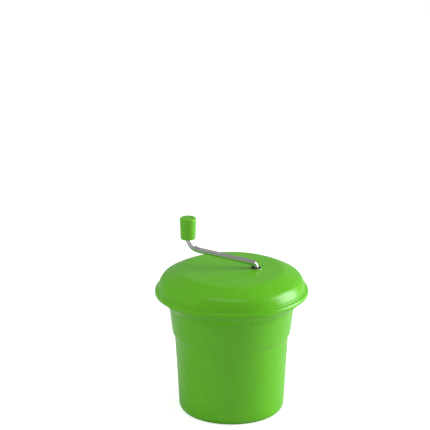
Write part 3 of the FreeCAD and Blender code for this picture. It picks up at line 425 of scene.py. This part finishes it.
def wrap_sector(bm, path, lengths):
    """Bends the flat sector round the axis; slots keep their width whatever the radius."""
    sector = math.pi / SLOT_SECTORS
    half, side = SLOT_HALF * MM, SECTOR_HALF * MM
    for vert in bm.verts:
        last = len(lengths) - 1
        at = next((n for n in range(1, last + 1) if vert.co.z <= lengths[n] + 1e-9), last)
        share = (vert.co.z - lengths[at - 1]) / (lengths[at] - lengths[at - 1])
        point = path[at - 1].lerp(path[at], share)
        edge = min(half / point.x, 0.6 * sector)
        across = abs(vert.co.x)
        if across <= half:
            angle = across / half * edge
        else:
            angle = edge + (across - half) / (side - half) * (sector - edge)
        angle = math.copysign(angle, vert.co.x)
        vert.co = (point.x * math.cos(angle), point.x * math.sin(angle), point.z)


def make_basket():
    """A thin milky basket: two rows of upright slots, radial slots in its floor, a hooked rim."""
    path = walked(rounded_wire(BASKET_UNDERSIDE, closed=False), (12.1 * MM, 0, 41.6 * MM))
    lengths = along_path(path)
    floor = tuple(length_at(path, lengths, r * MM, 0, after=PAST_HUB) for r in FLOOR_SLOT)
    walls = [tuple(length_at(path, lengths, z * MM, 2, after=floor[1]) for z in pair)
             for pair in WALL_SLOTS]
    sector = FULL_TURN / SLOT_SECTORS
    sectors = []
    for at, slots in enumerate(([floor] + walls, walls)):
        bm = basket_sector(lengths, slots)
        wrap_sector(bm, path, lengths)
        bmesh.ops.rotate(bm, cent=(0, 0, 0), verts=bm.verts,
                         matrix=Matrix.Rotation((at - 0.5) * sector - math.pi / 2, 3, "Z"))
        sectors.append(bm)
    skin = spread(merged(*sectors), SLOT_SECTORS // 2)
    bmesh.ops.remove_doubles(skin, verts=skin.verts, dist=SKIN_WELD)
    bmesh.ops.recalc_face_normals(skin, faces=skin.faces)
    if max(skin.faces, key=lambda f: f.calc_center_median().z).normal.z > 0:
        bmesh.ops.reverse_faces(skin, faces=skin.faces)
    piece(skin, "basket_body", "basket", milky_polyethylene, ["basket"],
          edge_mm=0.3, wall_mm=BASKET_WALL)


def make_column():
    """The basket's hollow column: a screwed flange, small fins at its root, a tapering tube."""
    tube = turned([
        (9.08, 42, 0.3), (12, 42, 0.4), (12, 44, 0), (31, 44, 0.4), (31, 47, 0.8), (19.6, 47, 2),
        (18.4, 246.6, 1.2), (16.6, 248.4, 0.8), (9.92, 248.4, 0.3), (9.92, 234, 0), (15.8, 226, 2),
        (17, 68, 2), (9.08, 58.6, 0.5),
    ], steps=TUBE_STEPS)
    fin = block((18, -1.1, 46.5), (30, 1.1, 66), 0.4)
    slope = [v for v in fin.verts if v.co.x > 28 * MM and v.co.z > 60 * MM]
    bmesh.ops.translate(fin, vec=(-10.2 * MM, 0, 0), verts=slope)
    piece(merged(tube, spread(fin, 3, start=60)), "basket_column", "basket",
          milky_polyethylene, ["centre_column"])


# ---------------------------------------------------------------- lid

POST_RING = 74


def make_lid():
    """A domed lid with fine steps above its rim, centring ribs inside and a boss for the crank."""
    shell = turned([
        (0, 54.6, 0), (110, 52.8, 6), (117, 50.5, 6), (138, 41.5, 10), (151.5, 33, 8), (157.2, 19, 4),
        (157.6, 15.6, 0.3), (158.6, 15.2, 0.3), (158.8, 12.8, 0.3), (159.9, 12.4, 0.3),
        (160.1, 10.2, 0.3), (163.6, 9, 0.8), (165, 5.5, 1), (165, 0, 0.6), (161.8, 0, 0.6),
        (161.8, 4, 0.6), (153.5, 4, 0.8),
        (154.4, 19, 4), (149, 31.2, 8), (136.6, 38.9, 10), (116, 47.7, 6), (110, 50, 6), (0, 51.8, 0),
    ])
    rib = block((146, -1.2, -3), (150.8, 1.2, 20), 0.6)
    root = block((150, -1.2, 4.2), (155, 1.2, 20), 0.4)
    ribs = spread(merged(rib, root), 8)
    boss = turned([(15.8, 51.5, 0), (15, 55.2, 0.8), (0, 55.2, 0), (0, 51.5, 0)],
                  (GEAR_AXIS, 0, 0), TUBE_STEPS)
    tube = turned([(0, 51, 0), (12.4, 51, 0), (12, 36, 0.5), (0, 36, 0)], (GEAR_AXIS, 0, 0), TUBE_STEPS)
    post = turned([(0, 51, 0), (6.3, 51, 0), (6, 13.5, 0.4), (0, 13.5, 0)],
                  (PLATE_AXIS + POST_RING, 0, 0), POST_STEPS)
    posts = spread(post, 3, centre=(PLATE_AXIS, 0), start=60)
    body = cut_or_joined(shell, boss, "UNION")
    body = cut_or_joined(body, tube, "UNION")
    body = cut_or_joined(body, ribs, "UNION")
    body = cut_or_joined(body, posts, "UNION")
    bore = turned([
        (0, 30, 0), (8.52, 30, 0), (8.52, 53.5, 0), (12.1, 53.5, 0), (12.1, 60, 0), (0, 60, 0),
    ], (GEAR_AXIS, 0, 0), BORE_STEPS)
    body = cut_or_joined(body, bore)
    bmesh.ops.translate(body, vec=Vector(ON_LID) * MM, verts=body.verts)
    piece(body, "lid_dome", "lid", green_polypropylene, ["lid_shell"])


def make_gearbox():
    """The plate that closes the gearbox, its drum and the drum's cover."""
    plate = turned([
        (0, 11, 0), (83, 11, 0.8), (83, 15.5, 0.5), (81, 15.5, 0.5), (81, 13.5, 0.5), (0, 13.5, 0),
    ], (PLATE_AXIS, 0, 0), PLATE_STEPS)
    crank_boss = turned([(0, 13, 0), (11.4, 13, 0), (11, 22, 0.5), (0, 22, 0)],
                        (GEAR_AXIS, 0, 0), BORE_STEPS)
    pinion_boss = turned([(0, 13, 0), (9.4, 13, 0), (9, 26, 0.5), (0, 26, 0)], (0, 0, 0), BORE_STEPS)
    plate = cut_or_joined(plate, merged(crank_boss, pinion_boss), "UNION")
    crank_bore = turned([(0, 5, 0), (8.02, 5, 0), (8.02, 30, 0), (0, 30, 0)],
                        (GEAR_AXIS, 0, 0), BORE_STEPS)
    pinion_bore = turned([(0, 5, 0), (6.02, 5, 0), (6.02, 30, 0), (0, 30, 0)], (0, 0, 0), BORE_STEPS)
    plate = cut_or_joined(plate, merged(crank_bore, pinion_bore))
    bmesh.ops.translate(plate, vec=Vector(ON_LID) * MM, verts=plate.verts)
    piece(plate, "gearbox_back_plate", "lid", pale_nylon, ["gearbox_plate"])

    drum = turned([
        (47.2, -11.5, 0.2), (49.7, -11.5, 0.4), (49.7, 8.5, 0.8), (57, 8.5, 0.6), (57, 11, 0.4),
        (47.2, 11, 0.2),
    ], steps=DRUM_STEPS)
    lug = turned([(0, -11.5, 0), (4.5, -11.5, 0), (4.5, -6.2, 0.4), (0, -6.2, 0)], (43, 0, 0), 32)
    drum = cut_or_joined(drum, spread(lug, 3, start=-70, sweep=140), "UNION")
    drum = cut_or_joined(drum, block((-60, -60, -13), (-4.3, 60, 13)))
    bmesh.ops.translate(drum, vec=Vector(ON_GEAR) * MM, verts=drum.verts)
    piece(drum, "gear_drum", "lid", green_polypropylene, ["gear_housing"], edge_mm=0.25)

    cover = turned([
        (0, -14, 0), (48.4, -14, 0.6), (49.7, -12.8, 0.6), (49.7, -11.5, 0), (0, -11.5, 0),
    ], steps=DRUM_STEPS)
    notch = turned([(0, -15, 0), (9.5, -15, 0), (9.5, -10, 0), (0, -10, 0)],
                   (-GEAR_AXIS, 0, 0), BORE_STEPS)
    cover = cut_or_joined(cover, notch)
    bmesh.ops.translate(cover, vec=Vector(ON_GEAR) * MM, verts=cover.verts)
    piece(cover, "gear_drum_cover", "lid", pale_green_nylon, ["housing_cover"],
          edge_mm=0.25)


def make_bushes():
    """Turned acetal bushes for the crank and the pinion, each with a flange."""
    upper = turned([
        (6.05, 36, 0.4), (8.5, 36, 0.4), (8.5, 53.5, 0.3), (12, 53.5, 0.3), (12, 55, 0.5),
        (6.05, 55, 0.5),
    ], ON_GEAR, BORE_STEPS)
    piece(upper, "upper_crank_bush", "lid", white_acetal, ["crank_bush_upper"])
    lower = turned([
        (6.05, 9.6, 0.4), (10.5, 9.6, 0.4), (10.5, 11, 0.2), (8, 11, 0.2), (8, 22, 0.4), (6.05, 22, 0.4),
    ], ON_GEAR, BORE_STEPS)
    piece(lower, "lower_crank_bush", "lid", white_acetal, ["crank_bush_lower"])
    small = turned([
        (4.05, 10, 0.3), (9, 10, 0.3), (9, 11, 0.2), (6, 11, 0.2), (6, 26, 0.4), (4.05, 26, 0.4),
    ], ON_LID, BORE_STEPS)
    piece(small, "pinion_bearing", "lid", white_acetal, ["pinion_bush"])


# ---------------------------------------------------------------- crank and knob

CRANK_BENDS = ((65.6, 8.6), (101, 23.5))
ROD_RADIUS = 6


def make_crank():
    """The crank is one polished rod, bent twice: at each bend, its height and its rounding."""
    low = (GEAR_AXIS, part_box("crank_arm")[0].z / MM)
    top = (KNOB_AXIS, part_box("crank_arm")[1].z / MM)
    (low_bend, low_radius), (high_bend, high_radius) = CRANK_BENDS
    first, second = (GEAR_AXIS, LID_RIM + low_bend), (KNOB_AXIS, LID_RIM + high_bend)
    bm = rounded_wire([(*low, 0), (*first, low_radius), (*second, high_radius), (*top, 0)],
                      closed=False, steps=16)
    path = walked(bm, (low[0] * MM, 0, low[1] * MM))
    line = bpy.data.curves.new("crank_line", "CURVE")
    line.dimensions = "3D"
    spline = line.splines.new("POLY")
    spline.points.add(len(path) - 1)
    for point, place in zip(spline.points, path):
        point.co = (*place, 1)
    line.bevel_depth = ROD_RADIUS * MM
    line.bevel_resolution = 10
    line.use_fill_caps = True
    carrier = bpy.data.objects.new("crank_line", line)
    bpy.context.scene.collection.objects.link(carrier)
    rod = bpy.data.meshes.new_from_object(carrier)
    bpy.data.objects.remove(carrier)
    made = bmesh.new()
    made.from_mesh(rod)
    bpy.data.meshes.remove(rod)
    bmesh.ops.remove_doubles(made, verts=made.verts, dist=WELD)
    bmesh.ops.recalc_face_normals(made, faces=made.faces)
    piece(made, "crank_rod", "crank", polished_rod, ["crank_arm"], edge_mm=0.5)
    seal = turned([
        (6.02, 55.1, 0.2), (11, 55.1, 0.3), (10.4, 56.6, 0.5), (6.02, 56.6, 0.3),
    ], ON_GEAR, BORE_STEPS)
    piece(seal, "crank_seal_ring", "crank", black_rubber, ["crank_seal"])


def make_knob():
    """A hollow moulded grip with a tube inside that turns on the rod, closed by a cap."""
    grip = turned([
        (13.5, 122, 0.5), (16, 122, 0.8), (17.7, 166.5, 1.6), (15.6, 169, 1.4), (10.6, 169, 0.4),
        (10.6, 158, 0.3), (6.08, 158, 0.3), (6.08, 127.3, 0.3), (9.5, 127.3, 0.4), (9.5, 155, 1.2),
        (14.8, 155, 1.2),
    ], ON_KNOB, TUBE_STEPS)
    rib = block((9, -0.8, 140), (14.9, 0.8, 155.5), 0.3)
    ribs = spread(rib, 6)
    bmesh.ops.translate(ribs, vec=Vector(ON_KNOB) * MM, verts=ribs.verts)
    piece(merged(grip, ribs), "knob_grip", "knob", green_polypropylene, ["knob"])
    cap = turned([(0, 165.5, 0), (10.5, 165.5, 0.3), (10.5, 168.6, 0.5), (0, 169, 0)],
                 ON_KNOB, BORE_STEPS)
    piece(cap, "knob_top_cap", "knob", green_polypropylene, ["knob_cap"])


# ---------------------------------------------------------------- gears, pins and fasteners

def refined(node, name, body, material, edge_mm):
    """A CAD node's own shape with its facets merged and its edges softened."""
    bm = bmesh.new()
    bm.from_mesh(frame["nodes"][node].data)
    bmesh.ops.remove_doubles(bm, verts=bm.verts, dist=WELD)
    bmesh.ops.dissolve_limit(bm, angle_limit=math.radians(1), verts=bm.verts, edges=bm.edges)
    piece(bm, name, body, material, [node], edge_mm=edge_mm)


def make_small_parts():
    refined("drive_gear", "big_gear", "crank", white_acetal, 0.15)
    refined("pinion_shaft", "fluted_pinion", "pinion", polished_rod, 0.12)
    refined("drive_socket", "column_socket", "basket", white_acetal, 0.12)
    refined("pinion_circlip", "pinion_clip", "pinion", turned_steel, 0.1)
    for node, slot, material in (("pivot_pin", "stainless_steel", turned_steel),
                                 ("pivot_bush", "bearing_plastic", white_acetal),
                                 ("thrust_washer", "stainless_steel", turned_steel),
                                 ("pinion_washer", "stainless_steel", turned_steel),
                                 ("gear_pin", "stainless_steel", turned_steel),
                                 ("gear_washer", "stainless_steel", turned_steel),
                                 ("gear_screw", "stainless_steel", turned_steel),
                                 ("knob_collar", "bearing_plastic", white_acetal),
                                 ("knob_washer", "stainless_steel", turned_steel),
                                 ("knob_screw", "stainless_steel", turned_steel),
                                 ("column_screws", "stainless_steel", turned_steel),
                                 ("plate_screws", "stainless_steel", turned_steel),
                                 ("housing_screws", "stainless_steel", turned_steel),
                                 ("cover_screws", "stainless_steel", turned_steel)):
        body = frame["nodes"][node]["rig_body"]
        refined(node, node + "_finished", body, material, 0.15)


# ---------------------------------------------------------------- stage

VIEW_ELEVATION = 18.7
VIEW_DISTANCE = 6.0
VIEW_WIDTH = 0.9165
AIM = Vector((-0.0357, 0, 0.439))
SENSOR = 36.0
ROOM_LIGHT = 0.47
ROOM_GLOSS = 0.34
FLOOR_GLOW = 0.66


def make_stage():
    floor = bmesh.new()
    bmesh.ops.create_grid(floor, x_segments=1, y_segments=1, size=6)
    ground = as_object(floor, "floor")
    material, tree, shader, _ = new_material("pale_floor")
    seen = add(tree, "ShaderNodeLightPath").outputs["Is Camera Ray"]
    glow = add(tree, "ShaderNodeMix", {"Factor": seen, 2: 0.0, 3: FLOOR_GLOW})
    shader.inputs["Base Color"].default_value = linear("#DADADA")
    shader.inputs["Roughness"].default_value = 0.9
    shader.inputs["Emission Color"].default_value = (1, 1, 1, 1)
    tree.links.new(glow.outputs[0], shader.inputs["Emission Strength"])
    ground.data.materials.append(material)


def softbox(name, place, size, power, aim=(0, 0, 0.25)):
    light = bpy.data.lights.new(name, "AREA")
    light.shape = "RECTANGLE"
    light.size, light.size_y = size
    light.energy = power
    lamp = bpy.data.objects.new(name, light)
    lamp.location = place
    lamp.rotation_euler = (Vector(aim) - Vector(place)).to_track_quat("-Z", "Y").to_euler()
    bpy.context.scene.collection.objects.link(lamp)
    return lamp


def make_light():
    """A white studio: even light from all round, a bright softbox on the right, a fill on the left
    and a small one overhead. Glossy surfaces see a dimmer room, which keeps the green deep."""
    world = bpy.data.worlds.new("studio")
    world.use_nodes = True
    tree = world.node_tree
    background = tree.nodes["Background"]
    path = add(tree, "ShaderNodeLightPath")
    cast = add(tree, "ShaderNodeMix", {"Factor": path.outputs["Is Glossy Ray"],
                                       2: ROOM_LIGHT, 3: ROOM_GLOSS})
    shown = add(tree, "ShaderNodeMix", {"Factor": path.outputs["Is Camera Ray"],
                                        2: cast.outputs[0], 3: 1.0})
    background.inputs["Color"].default_value = (1, 1, 1, 1)
    tree.links.new(shown.outputs[0], background.inputs["Strength"])
    bpy.context.scene.world = world
    softbox("right_softbox", (2.0, 0.22, 0.8), (1.3, 1.7), 52)
    softbox("left_softbox", (-2.4, -0.65, 1.1), (1.4, 1.6), 18).visible_glossy = False
    softbox("top_softbox", (-0.2, -0.5, 2.4), (1.6, 0.8), 8)
    bpy.context.scene.view_settings.view_transform = "Standard"


def make_camera():
    up = math.radians(VIEW_ELEVATION)
    lens = bpy.data.cameras.new("camera")
    lens.sensor_width = SENSOR
    lens.lens = SENSOR * VIEW_DISTANCE / VIEW_WIDTH
    camera = bpy.data.objects.new("camera", lens)
    back = Vector((0, -math.cos(up), math.sin(up)))
    camera.location = AIM + back * VIEW_DISTANCE
    camera.rotation_euler = (-back).to_track_quat("-Z", "Y").to_euler()
    bpy.context.scene.collection.objects.link(camera)
    bpy.context.scene.camera = camera


make_bucket()
make_basket()
make_column()
make_lid()
make_gearbox()
make_bushes()
make_crank()
make_knob()
make_small_parts()
make_stage()
make_light()
make_camera()
